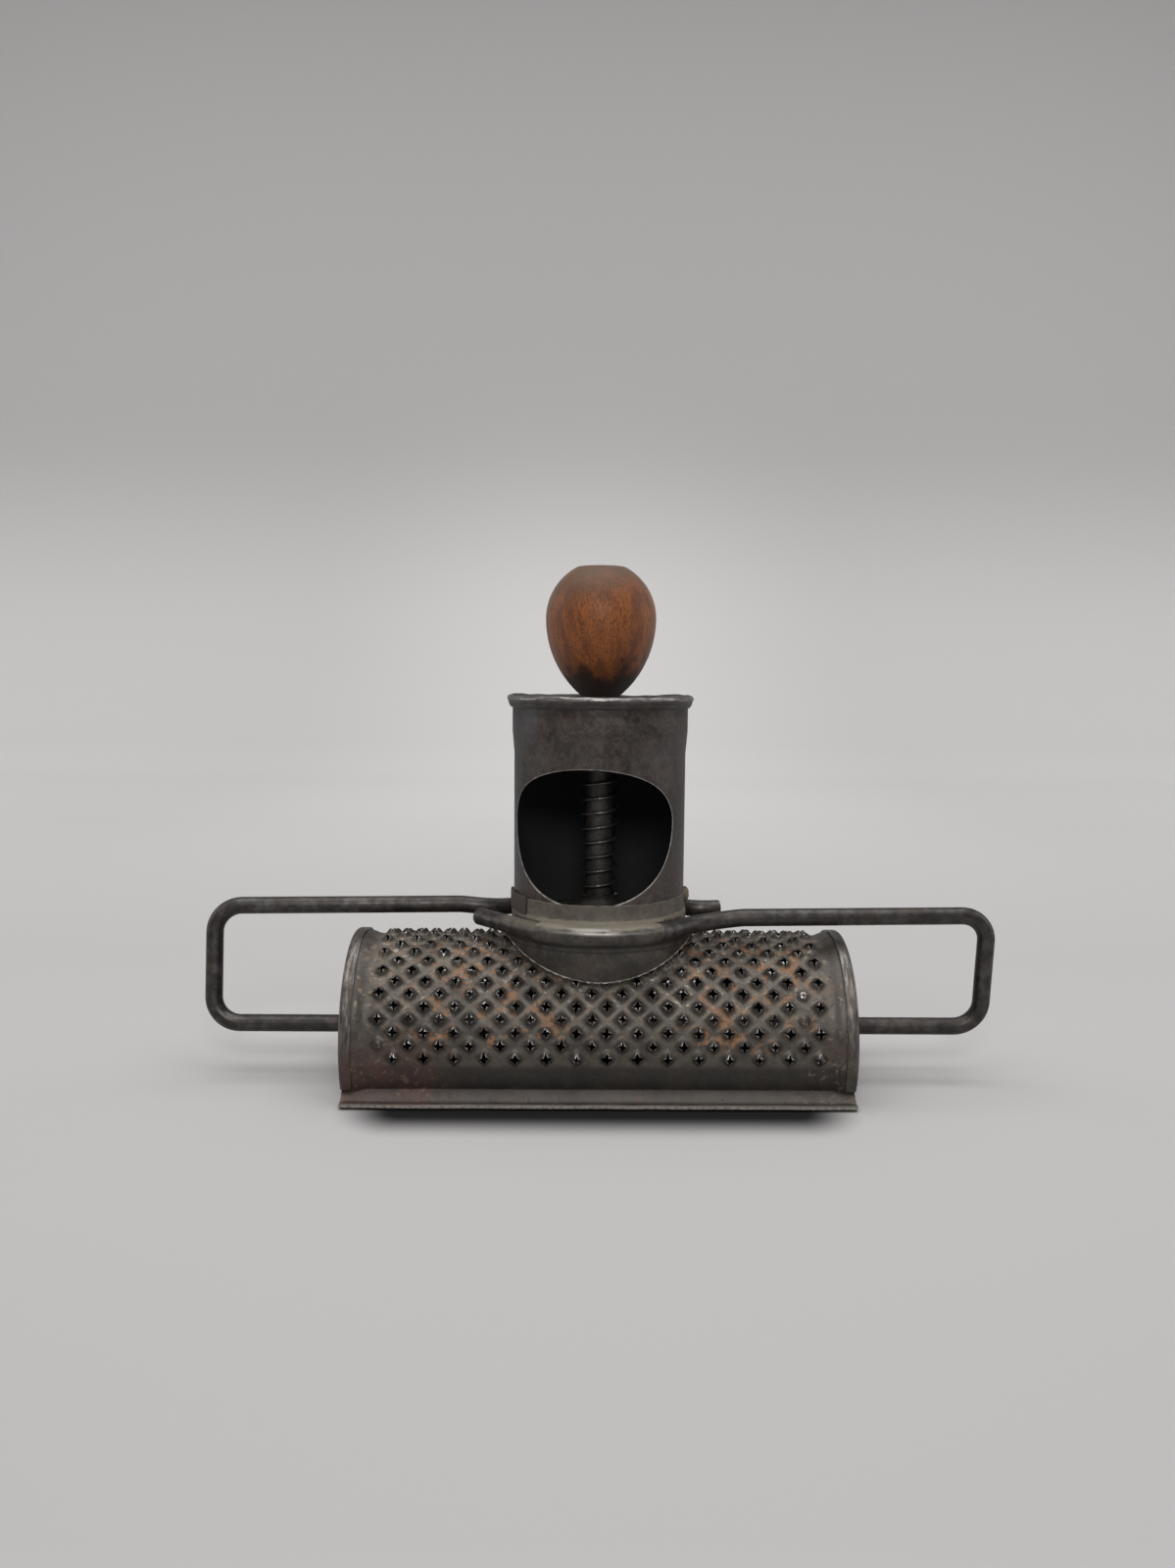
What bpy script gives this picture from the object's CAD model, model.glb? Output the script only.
"""Looks of a sliding nutmeg grater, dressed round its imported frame.

Lengths in the classes, and the spans in the finishes, are millimetres from the rail's axis (X along
the rail, Y away from the user, Z up), because every formed piece is drawn about that axis. They
become metres in the row's frame when a mesh is made. Only the studio is given in metres.
"""

import logging
import math
from dataclasses import dataclass
from enum import Enum
from typing import Any

import bpy
import numpy as np
from mathutils import Matrix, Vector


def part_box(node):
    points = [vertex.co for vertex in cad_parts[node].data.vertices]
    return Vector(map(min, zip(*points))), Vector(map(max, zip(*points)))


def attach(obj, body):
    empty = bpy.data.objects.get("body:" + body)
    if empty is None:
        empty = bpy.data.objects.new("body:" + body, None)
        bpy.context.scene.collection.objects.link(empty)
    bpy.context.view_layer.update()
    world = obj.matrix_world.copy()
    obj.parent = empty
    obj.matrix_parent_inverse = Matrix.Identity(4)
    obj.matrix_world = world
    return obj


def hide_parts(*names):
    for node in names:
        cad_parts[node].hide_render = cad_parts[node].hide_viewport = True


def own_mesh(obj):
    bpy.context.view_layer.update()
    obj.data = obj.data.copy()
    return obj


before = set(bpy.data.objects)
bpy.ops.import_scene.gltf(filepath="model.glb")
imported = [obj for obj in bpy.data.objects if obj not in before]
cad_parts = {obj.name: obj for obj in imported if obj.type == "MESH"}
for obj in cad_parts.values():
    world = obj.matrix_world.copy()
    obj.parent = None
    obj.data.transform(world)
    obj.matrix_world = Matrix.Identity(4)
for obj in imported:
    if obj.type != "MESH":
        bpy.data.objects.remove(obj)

MM = 0.001
SEED = 1891
log = logging.getLogger("nutmeg_grater")

Colour = tuple[float, float, float]
Point = tuple[float, float, float]
Span = tuple[float, float]
Inputs = dict[Any, Any]

ORIGIN: Point = (0.0, 0.0, 0.0)
EVEN: Point = (1.0, 1.0, 1.0)

# The rail's axis above the floor, and sizes that more than one class uses, about that axis.
LOW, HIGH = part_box("slide_rail")
RAIL_HEIGHT = (LOW.z + HIGH.z) / 2 / MM
BARREL_RADIUS = 15.75
NECK_RADIUS = 16.2
NECK_TOP = 25.7
SADDLE_RADIUS = 19.0
LID_TOP = 61.8

# Relief marks the parts of a new mesh for its finish: 0 in a valley to 1 at a burr's rim.
FLANK_RELIEF = 0.88
SHUT_RELIEF = 0.3
PLAIN_RELIEF = 0.12
INSIDE_RELIEF = 2.0


class Body(Enum):
    """The moving bodies that the new pieces ride on."""

    BASE = "grater_base"
    CARRIAGE = "carriage"


class Slot(Enum):
    """The record's material slots that the new pieces use."""

    GRATING = "tinned_grating"
    SHEET = "tinned_sheet"
    SOLDER = "solder"
    SPRING = "spring_steel"


# ---------------------------------------------------------------- surfaces


@dataclass
class Surface:
    """A mesh in the making: points in millimetres, faces by number, and one value per point."""

    points: np.ndarray
    faces: list[np.ndarray]
    relief: np.ndarray

    @staticmethod
    def join(parts: list["Surface"]) -> "Surface":
        """Put surfaces together and weld the points that coincide.

        Args:
            parts: surfaces whose shared borders have the same points.

        Returns:
            One surface. A welded point keeps the value of the first surface that has it.
        """
        weld = 1e-3
        points = np.concatenate([part.points for part in parts])
        relief = np.concatenate([part.relief for part in parts])
        starts = np.cumsum([0] + [len(part.points) for part in parts[:-1]])
        keys = np.round(points / weld).astype(np.int64)
        _keys, first, places = np.unique(keys, axis=0, return_index=True, return_inverse=True)
        places = places.reshape(-1)
        blocks = [block + start for part, start in zip(parts, starts) for block in part.faces]
        return Surface(points[first], [places[block] for block in blocks], relief[first])

    def outward(self) -> "Surface":
        """Make a closed surface's faces look outward.

        Returns:
            This surface, or one with all faces reversed where the signed volume is negative. The
            volume is the sum of a . (b x c) / 6 over a fan of triangles in each face.
        """
        volume = 0.0
        for block in self.faces:
            corners = self.points[block]
            for k in range(1, block.shape[1] - 1):
                volume += np.sum(corners[:, 0] * np.cross(corners[:, k], corners[:, k + 1]))
        if volume > 0:
            return self
        return Surface(self.points, [block[:, ::-1] for block in self.faces], self.relief)

    def to_object(self, name: str, sharp: float = 40.0) -> bpy.types.Object:
        """Make the mesh object.

        Args:
            name: the piece's name.
            sharp: edges that turn by more degrees than this stay sharp.

        Returns:
            The object, at the origin, with its place in its mesh.
        """
        faces = [tuple(dict.fromkeys(row)) for block in self.faces for row in block.tolist()]
        faces = [face for face in faces if len(face) > 2]
        mesh = bpy.data.meshes.new(name)
        place = self.points.copy()
        place[:, 2] += RAIL_HEIGHT
        mesh.from_pydata((place * MM).tolist(), [], faces)
        mesh.validate()
        value = mesh.attributes.new("relief", "FLOAT", "POINT")
        value.data.foreach_set("value", self.relief.astype(np.float32))
        mesh.shade_smooth()
        mesh.set_sharp_from_angle(angle=math.radians(sharp))
        mesh.update()
        return new_object(name, mesh)


def new_object(name: str, data: bpy.types.ID) -> bpy.types.Object:
    """Make an object of a mesh, lamp or camera and link it to the scene.

    Args:
        name: its name.
        data: what it holds.

    Returns:
        The object, at the origin.
    """
    made = bpy.data.objects.new(name, data)
    bpy.context.scene.collection.objects.link(made)
    return made


def grid_faces(
    rows: int, columns: int, wrap_rows: bool = False, wrap_columns: bool = False
) -> np.ndarray:
    """Quads between the neighbours of a grid whose point (i, j) has the number i * columns + j.

    Args:
        rows: number of rows of points.
        columns: number of points in a row.
        wrap_rows: join the last row to the first.
        wrap_columns: join the last column to the first.

    Returns:
        An array of four point numbers for each quad.
    """
    i = np.arange(rows if wrap_rows else rows - 1)[:, None]
    j = np.arange(columns if wrap_columns else columns - 1)[None, :]
    start, behind = i * columns, (i + 1) % rows * columns
    j_next = (j + 1) % columns
    return np.stack([start + j, behind + j, behind + j_next, start + j_next], -1).reshape(-1, 4)


def loft(points: np.ndarray, relief: np.ndarray | float = 0.0, closed: bool = False) -> Surface:
    """A solid band: closed section loops, one behind another.

    Args:
        points: (stations, loop points, 3), each station's loop in the same order.
        relief: the value at each point, or one for all.
        closed: the last station joins the first. If not, a face closes each end.

    Returns:
        The band's surface.
    """
    stations, around, _xyz = points.shape
    faces = [grid_faces(stations, around, wrap_rows=closed, wrap_columns=True)]
    if not closed:
        loop = np.arange(around)
        faces.append(loop[None, :])
        faces.append((loop[::-1] + (stations - 1) * around)[None, :])
    values = np.broadcast_to(relief, (stations, around)).reshape(-1)
    return Surface(points.reshape(-1, 3), faces, values).outward()


def arc(centre: Span, radius: float, start: float, end: float, count: int) -> np.ndarray:
    """Points of an arc in a section plane: centre + radius * (cos a, sin a), a in degrees."""
    a = np.radians(np.linspace(start, end, count))
    return np.stack([centre[0] + radius * np.cos(a), centre[1] + radius * np.sin(a)], -1)


def line(start: Span, end: Span, count: int) -> np.ndarray:
    """Evenly spaced points from start to end, both included."""
    return np.linspace(start, end, count)


def waves(phase: np.ndarray, turns: tuple[int, ...], seed: int) -> np.ndarray:
    """A smooth uneven ripple round a circle: the mean of sin(turns * angle + start).

    Args:
        phase: angle in radians.
        turns: how many times each sine repeats in a full circle.
        seed: picks the sines' starts.

    Returns:
        Values between -1 and 1.
    """
    starts = np.random.default_rng(SEED + seed).uniform(0.0, 2 * np.pi, len(turns))
    return sum(np.sin(phase * turn + start) for turn, start in zip(turns, starts)) / len(turns)


def turned(section: np.ndarray, angle: np.ndarray) -> np.ndarray:
    """Carry section points (radius, height) round the upright axis: (r cos a, r sin a, z).

    Args:
        section: (stations, loop points, 2), radius and height.
        angle: azimuth in radians, one per station or per point.

    Returns:
        (stations, loop points, 3) places.
    """
    angle = np.broadcast_to(angle if angle.ndim == 2 else angle[:, None], section.shape[:2])
    radius, height = section[..., 0], section[..., 1]
    return np.stack([radius * np.cos(angle), radius * np.sin(angle), height], -1)


# ---------------------------------------------------------------- node trees


class Value:
    """A socket of a node tree. Plain arithmetic with it adds Math nodes."""

    def __init__(self, nodes: "Nodes", socket: bpy.types.NodeSocket) -> None:
        """Keep the socket and the Nodes that add to its tree."""
        self.nodes = nodes
        self.socket = socket

    def __add__(self, other: Any) -> "Value":
        """The sum."""
        return self.nodes.math("ADD", self, other)

    def __sub__(self, other: Any) -> "Value":
        """The difference."""
        return self.nodes.math("SUBTRACT", self, other)

    def __mul__(self, other: Any) -> "Value":
        """The product: where both masks hold."""
        return self.nodes.math("MULTIPLY", self, other)

    def __or__(self, other: Any) -> "Value":
        """The larger one: where either mask holds."""
        return self.nodes.math("MAXIMUM", self, other)

    def __truediv__(self, other: Any) -> "Value":
        """The quotient."""
        return self.nodes.math("DIVIDE", self, other)

    def __abs__(self) -> "Value":
        """The value without its sign."""
        return self.nodes.math("ABSOLUTE", self)


class Nodes:
    """Adds nodes to a tree and joins them, so that a finish reads as a list of steps."""

    def __init__(self, tree: bpy.types.NodeTree) -> None:
        """Keep the tree that the nodes go into."""
        self.tree = tree

    def feed(self, node: bpy.types.Node, inputs: Inputs) -> None:
        """Set a node's inputs.

        Args:
            node: the node.
            inputs: for an input's name or number, a plain value or the Value that feeds it.
        """
        for name, value in inputs.items():
            if isinstance(value, Value):
                self.tree.links.new(value.socket, node.inputs[name])
            else:
                node.inputs[name].default_value = value

    def add(self, kind: str, inputs: Inputs | None = None, **settings: Any) -> bpy.types.Node:
        """Add a node.

        Args:
            kind: the node's type, without "ShaderNode".
            inputs: as for feed.
            settings: the node's own properties, set before its inputs.

        Returns:
            The node.
        """
        node = self.tree.nodes.new(f"ShaderNode{kind}")
        for name, value in settings.items():
            setattr(node, name, value)
        self.feed(node, inputs or {})
        return node

    def out(self, node: bpy.types.Node, name: str | int = 0) -> Value:
        """One of a node's outputs."""
        return Value(self, node.outputs[name])

    def math(self, operation: str, first: Any, second: Any = 0.0) -> Value:
        """The result of a Math node."""
        return self.out(self.add("Math", {0: first, 1: second}, operation=operation))

    def vector(self, operation: str, inputs: Inputs) -> Value:
        """The result of a Vector Math node."""
        return self.out(self.add("VectorMath", inputs, operation=operation))

    def spread(self, value: Value, low: Any, high: Any, kind: str = "SMOOTHSTEP") -> Value:
        """0 at low, 1 at high, held outside them."""
        return self.out(self.add("MapRange", {0: value, 1: low, 2: high}, interpolation_type=kind))

    def between(self, value: Value, span: Span, blur: float) -> Value:
        """1 inside the span, fading to 0 over blur on both sides."""
        low, high = span
        return self.spread(value, low - blur, low) * self.spread(value, high + blur, high)

    def mix(self, first: Any, second: Any, share: Value) -> Value:
        """Colour first, or second where share is 1."""
        ends = [end if isinstance(end, Value) else (*end, 1.0) for end in (first, second)]
        return self.out(self.add("Mix", {0: share, 6: ends[0], 7: ends[1]}, data_type="RGBA"), 2)

    def blend(self, first: Any, second: Any, share: Value) -> Value:
        """Number first, or second where share is 1."""
        return self.out(self.add("Mix", {0: share, 2: first, 3: second}, data_type="FLOAT"))

    def distance(self, first: Value, second: Value) -> Value:
        """Length of the hypotenuse over two sides."""
        return self.math("SQRT", first * first + second * second)

    def place(self) -> Value:
        """The Object coordinates, which are metres in the row's frame."""
        return self.out(self.add("TexCoord"), "Object")

    def axes(self, vector: Value) -> list[Value]:
        """The three parts of a vector."""
        return [Value(self, part) for part in self.add("SeparateXYZ", {0: vector}).outputs]

    def from_rail(self, place: Value) -> tuple[Value, Value, Value]:
        """Millimetres along the rail, away from the user, and above the rail's axis."""
        x, y, z = self.axes(place)
        return x / MM, y / MM, z / MM - RAIL_HEIGHT

    def relief(self) -> Value:
        """The value that a new mesh keeps at each point."""
        return self.out(self.add("Attribute", attribute_name="relief"), "Fac")

    def stretch(self, vector: Value, scale: Point, turn: Point = ORIGIN) -> Value:
        """The vector scaled and turned by a Mapping node."""
        return self.out(self.add("Mapping", {"Vector": vector, "Scale": scale, "Rotation": turn}))

    def noise(self, place: Value, scale: Any, detail: float = 4.0, rough: float = 0.55) -> Value:
        """Noise about 0.5.

        Args:
            place: the coordinates.
            scale: lumps in a metre.
            detail: how many finer layers are added.
            rough: how strong the finer layers are.

        Returns:
            Values between 0 and 1.
        """
        inputs = {"Vector": place, "Scale": scale, "Detail": detail, "Roughness": rough}
        return self.out(self.add("TexNoise", inputs))

    def cloud(self, place: Value, scale: float, span: Span, *fine: float) -> Value:
        """Islands of noise: 0 below the span and 1 above it. The rest is as for noise."""
        return self.spread(self.noise(place, scale, *fine), *span)

    def mottle(self, place: Value, scale: float = 1.0) -> list[Value]:
        """Stain, patch, grain and pits, from their group."""
        node = self.add("Group", {"Vector": place, "Scale": scale}, node_tree=MOTTLE)
        return [Value(self, socket) for socket in node.outputs]

    def streaks(self, place: Value, stretch: Point, scale: float, span: Span) -> Value:
        """Rubbed streaks, from their group."""
        inputs = {"Vector": place, "Stretch": stretch, "Scale": scale}
        inputs.update(zip(("Low", "High"), span))
        return self.out(self.add("Group", inputs, node_tree=STREAKS))

    def scratches(self, place: Value, length: float, width: float) -> Value:
        """Scratches along X, from their group."""
        inputs = {"Vector": place, "Length": length, "Width": width}
        return self.out(self.add("Group", inputs, node_tree=SCRATCHES))


def new_group(
    name: str, inputs: Inputs, outputs: tuple[str, ...]
) -> tuple[Nodes, dict[str, Value], bpy.types.Node]:
    """Start a shader node group with named sockets.

    Args:
        name: the group's name.
        inputs: each input's default: a number, or a tuple for a vector.
        outputs: the names of the outputs, which are numbers.

    Returns:
        The Nodes of its tree, the inputs as Values by name, and the output node.
    """
    tree = bpy.data.node_groups.new(name, "ShaderNodeTree")
    for label, default in inputs.items():
        kind = "NodeSocketVector" if isinstance(default, tuple) else "NodeSocketFloat"
        socket = tree.interface.new_socket(label, in_out="INPUT", socket_type=kind)
        socket.default_value = default
    for label in outputs:
        tree.interface.new_socket(label, in_out="OUTPUT", socket_type="NodeSocketFloat")
    nodes = Nodes(tree)
    entry = tree.nodes.new("NodeGroupInput")
    feed = {label: nodes.out(entry, label) for label in inputs}
    return nodes, feed, tree.nodes.new("NodeGroupOutput")


def mottle_group() -> bpy.types.NodeTree:
    """Stains of two sizes with a fine grain over them, as old tin plate has.

    Returns:
        The group. Stain is broad, Patch is smaller and harder-edged, Grain is fine, and Pits are
        sparse small specks.
    """
    inputs = {"Vector": ORIGIN, "Scale": 1.0}
    nodes, feed, result = new_group("stain_mottle", inputs, ("Stain", "Patch", "Grain", "Pits"))
    place = nodes.vector("SCALE", {0: feed["Vector"], 3: feed["Scale"]})
    nodes.feed(result, {
        "Stain": nodes.cloud(place, 90.0, (0.36, 0.64), 5.0, 0.6),
        "Patch": nodes.cloud(place, 420.0, (0.42, 0.62), 6.0, 0.65),
        "Grain": nodes.noise(place, 2600.0, 3.0, 0.7),
        "Pits": nodes.cloud(place, 1500.0, (0.66, 0.74), 2.0, 0.5),
    })
    return nodes.tree


def streak_group() -> bpy.types.NodeTree:
    """Streaks that rubbing leaves on an edge: islands of noise drawn out where Stretch is small.

    Returns:
        The group. Low and High are the noise at which a streak starts and is full.
    """
    inputs = {"Vector": ORIGIN, "Stretch": EVEN, "Scale": 500.0, "Low": 0.4, "High": 0.6}
    nodes, feed, result = new_group("rubbed_streaks", inputs, ("Streaks",))
    place = nodes.vector("MULTIPLY", {0: feed["Vector"], 1: feed["Stretch"]})
    drawn = nodes.noise(place, feed["Scale"], 4.0, 0.65)
    nodes.feed(result, {"Streaks": nodes.spread(drawn, feed["Low"], feed["High"])})
    return nodes.tree


def scratch_group() -> bpy.types.NodeTree:
    """Short fine scratches along X: noise drawn out to Length by Width millimetres.

    Returns:
        The group.
    """
    inputs = {"Vector": ORIGIN, "Length": 3.0, "Width": 0.12}
    nodes, feed, result = new_group("fine_scratches", inputs, ("Scratches",))
    along, across = (nodes.math("DIVIDE", 1.0 / MM, feed[side]) for side in ("Length", "Width"))
    scale = nodes.out(nodes.add("CombineXYZ", {0: along, 1: across, 2: across}))
    place = nodes.vector("MULTIPLY", {0: feed["Vector"], 1: scale})
    nodes.feed(result, {"Scratches": nodes.cloud(place, 1.0, (0.62, 0.72), 2.0, 0.5)})
    return nodes.tree


MOTTLE = mottle_group()
STREAKS = streak_group()
SCRATCHES = scratch_group()


# ---------------------------------------------------------------- finishes


@dataclass
class Coat:
    """What a finish hands to its Principled BSDF, built up layer by layer."""

    nodes: Nodes
    place: Value
    colour: Value
    rough: Any
    metal: Any
    height: Value
    depth: float

    def over(self, colour: Any, mask: Value) -> None:
        """Lay a colour over the coat where the mask is 1."""
        self.colour = self.nodes.mix(self.colour, colour, mask)

    def shift(self, mask: Value, metal: float | None = None, rough: float | None = None) -> None:
        """Change the coat's shine where the mask is 1.

        Args:
            mask: where.
            metal: the metalness there; None leaves it.
            rough: the roughness there; None leaves it.
        """
        if metal is not None:
            self.metal = self.nodes.blend(self.metal, metal, mask)
        if rough is not None:
            self.rough = self.nodes.blend(self.rough, rough, mask)


@dataclass(frozen=True)
class Finish:
    """A named look. Each kind of finish paints its own coat."""

    name: str

    def paint(self, nodes: Nodes) -> Coat:
        """The coat, which each kind of finish makes in its own way."""
        raise NotImplementedError

    def material(self, settings: dict[str, float] | None = None) -> bpy.types.Material:
        """Make the finish's material.

        Args:
            settings: plain values of the Principled BSDF's own sockets.

        Returns:
            The material.
        """
        material = bpy.data.materials.new(self.name)
        material.use_nodes = True
        material.node_tree.nodes.clear()
        nodes = Nodes(material.node_tree)
        coat = self.paint(nodes)
        bump = nodes.add("Bump", {"Strength": 1.0, "Distance": coat.depth, "Height": coat.height})
        inputs = {
            "Base Color": coat.colour,
            "Roughness": coat.rough,
            "Metallic": coat.metal,
            "Normal": nodes.out(bump),
        }
        shader = nodes.add("BsdfPrincipled", {**inputs, **(settings or {})})
        nodes.add("OutputMaterial", {0: nodes.out(shader)})
        return material


def dress(piece: bpy.types.Object, material: bpy.types.Material) -> None:
    """Give the whole piece one material.

    Args:
        piece: a new piece or a CAD node.
        material: what every slot of it gets.
    """
    slots = piece.data.materials
    if len(slots) == 0:
        slots.append(material)
    for number in range(len(slots)):
        slots[number] = material


@dataclass(frozen=True)
class AgedTin(Finish):
    """Old tin plate: dark oxide with paler stains, clouds of rust, freckles and pits."""

    dark: Colour = (0.042, 0.036, 0.031)
    pale: Colour = (0.125, 0.108, 0.092)
    rust: Colour = (0.130, 0.066, 0.036)
    pit: Colour = (0.016, 0.012, 0.010)
    rust_share: float = 0.25
    freckle_share: float = 0.55
    pit_share: float = 0.7
    rough: float = 0.42
    patch_rough: float = 0.12
    metal: float = 0.5
    depth: float = 0.00006

    def paint(self, nodes: Nodes) -> Coat:
        """The plain tin, which each kind of tin adds to.

        Args:
            nodes: adds to the material's tree.

        Returns:
            The coat.
        """
        place = nodes.place()
        stain, patch, grain, pits = nodes.mottle(place)
        colour = nodes.mix(self.dark, self.pale, (patch + stain) * 0.5)
        rough = patch * self.patch_rough + self.rough
        coat = Coat(nodes, place, colour, rough, self.metal, grain * 0.5 - pits * 0.6, self.depth)
        coat.over(self.rust, nodes.cloud(place, 160.0, (0.56, 0.72), 6.0) * self.rust_share)
        coat.over(self.dark, nodes.spread(grain, 0.35, 0.7) * self.freckle_share)
        coat.over(self.pit, pits * self.pit_share)
        return coat


@dataclass(frozen=True)
class BarrelTin(AgedTin):
    """The barrel: soot-dark inside, worn bright along the window's cut edge."""

    name: str = "stained_barrel_tin"
    dark: Colour = (0.024, 0.018, 0.016)
    pale: Colour = (0.080, 0.066, 0.060)
    inside: Colour = (0.010, 0.010, 0.012)
    bright: Colour = (0.50, 0.47, 0.43)
    shadow: Colour = (0.02, 0.015, 0.012)
    cool: Colour = (0.058, 0.064, 0.074)
    speckle: Colour = (0.105, 0.082, 0.066)
    window_turn: float = 9.0
    window_half_angle: float = 63.5
    window_middle: float = 39.7
    window_rise: float = 9.7
    window_drop: float = 14.5
    edge_reach: Span = (0.9, 1.018)
    rim_shadow: Span = (58.6, 59.9)

    def paint(self, nodes: Nodes) -> Coat:
        """Tin darkened inside the barrel, with a bright cut edge round the window.

        The window's outline is (azimuth / half angle)^2 + (height / half height)^2 = 1, with one
        half height above its widest place and another below.

        Args:
            nodes: adds to the material's tree.

        Returns:
            The coat.
        """
        coat = super().paint(nodes)
        place = coat.place
        x, y, height = nodes.from_rail(place)
        azimuth = nodes.math("ARCTAN2", x, y * -1.0) + math.radians(self.window_turn)
        across = azimuth / math.radians(self.window_half_angle)
        level = height - self.window_middle
        up = (level | 0.0) / self.window_rise
        down = nodes.math("MINIMUM", level, 0.0) / self.window_drop
        edge = nodes.between(across * across + up * up + down * down, self.edge_reach, 0.012)
        edge = edge * nodes.blend(0.30, 1.0, nodes.cloud(place, 500.0, (0.3, 0.6), 3.0))
        edge = edge * nodes.blend(1.0, 0.45, nodes.spread(level, -4.0, 4.0))
        within = nodes.spread(nodes.distance(x, y), BARREL_RADIUS - 0.12, BARREL_RADIUS - 0.22)
        coat.over(self.shadow, nodes.between(height, self.rim_shadow, 0.5) * 0.6)
        flat = nodes.stretch(place, (1.0, 1.0, 0.5))
        coat.over(self.cool, nodes.cloud(flat, 110.0, (0.52, 0.66), 3.0) * 0.4)
        coat.over(self.speckle, nodes.cloud(place, 1100.0, (0.46, 0.62), 4.0, 0.65) * 0.35)
        coat.over(self.inside, within)
        coat.over(self.bright, edge)
        coat.shift(within, metal=0.0, rough=0.85)
        coat.shift(edge, metal=0.5, rough=0.35)
        return coat


@dataclass(frozen=True)
class CollarTin(AgedTin):
    """The collar: khaki neck, rubbed bead over the wire, dark creases, bright lower edge."""

    name: str = "rubbed_collar_tin"
    dark: Colour = (0.030, 0.026, 0.022)
    pale: Colour = (0.105, 0.092, 0.076)
    metal: float = 0.4
    khaki: Colour = (0.100, 0.084, 0.062)
    crust: Colour = (0.058, 0.046, 0.036)
    tide: Colour = (0.22, 0.19, 0.14)
    lap: Colour = (0.045, 0.030, 0.026)
    rubbed: Colour = (0.235, 0.218, 0.20)
    crease: Colour = (0.014, 0.011, 0.010)
    cut: Colour = (0.62, 0.58, 0.53)
    neck_zone: Span = (22.8, 25.5)
    spill_zone: Span = (-14.5, -7.5)
    tide_zone: Span = (22.4, 22.9)
    crown_zone: Span = (21.7, 22.3)
    fold_zone: Span = (18.7, 19.1)
    tuck_zone: Span = (17.75, 17.95)

    def paint(self, nodes: Nodes) -> Coat:
        """Tin with a zone for each turn of the sheet, by height above the rail.

        Args:
            nodes: adds to the material's tree.

        Returns:
            The coat.
        """
        coat = super().paint(nodes)
        place = coat.place
        x, y, height = nodes.from_rail(place)
        level = height + (nodes.noise(place, 300.0) * 1.2 - 0.6)
        spill = nodes.between(x, self.spill_zone, 2.0) * nodes.spread(level, 21.6, 22.4)
        neck = nodes.between(height, self.neck_zone, 0.3) | spill
        crumbs = nodes.cloud(place, 1000.0, (0.40, 0.62), 5.0, 0.7) * 0.7
        foxed = nodes.cloud(place, 260.0, (0.45, 0.62), 4.0, 0.6)
        coat.over(nodes.mix(self.khaki, self.crust, crumbs | foxed), neck * 0.85)
        coat.over(self.tide, nodes.between(level, self.tide_zone, 0.4) * 0.6)
        lap = nodes.spread(x, -12.8, -13.1) * nodes.spread(height, 22.7, 23.0)
        coat.over(self.lap, lap * 0.85)
        streak = nodes.streaks(place, (0.35, 1.0, 2.6), 420.0, (0.40, 0.60))
        middle = nodes.blend(0.25, 1.0, nodes.spread(abs(x), 12.5, 2.0))
        rub = nodes.between(height, self.crown_zone, 0.5) * streak * middle * nodes.relief()
        coat.over(self.rubbed, rub)
        fold = nodes.between(height, self.fold_zone, 0.25)
        tuck = nodes.between(height, self.tuck_zone, 0.2)
        coat.over(self.crease, (fold | tuck) * 0.6)
        edge = nodes.spread(nodes.distance(y, height), SADDLE_RADIUS + 0.50, SADDLE_RADIUS + 0.22)
        edge = edge * nodes.spread(height, 18.6, 17.8)
        edge = edge * nodes.blend(0.3, 1.0, nodes.cloud(place, 800.0, (0.42, 0.56), 2.0))
        coat.over(self.cut, edge * 0.9)
        coat.shift(neck | edge, metal=0.1)
        coat.shift(rub, metal=0.8)
        coat.shift(neck, rough=0.6)
        coat.shift(rub | edge, rough=0.40)
        return coat


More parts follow.
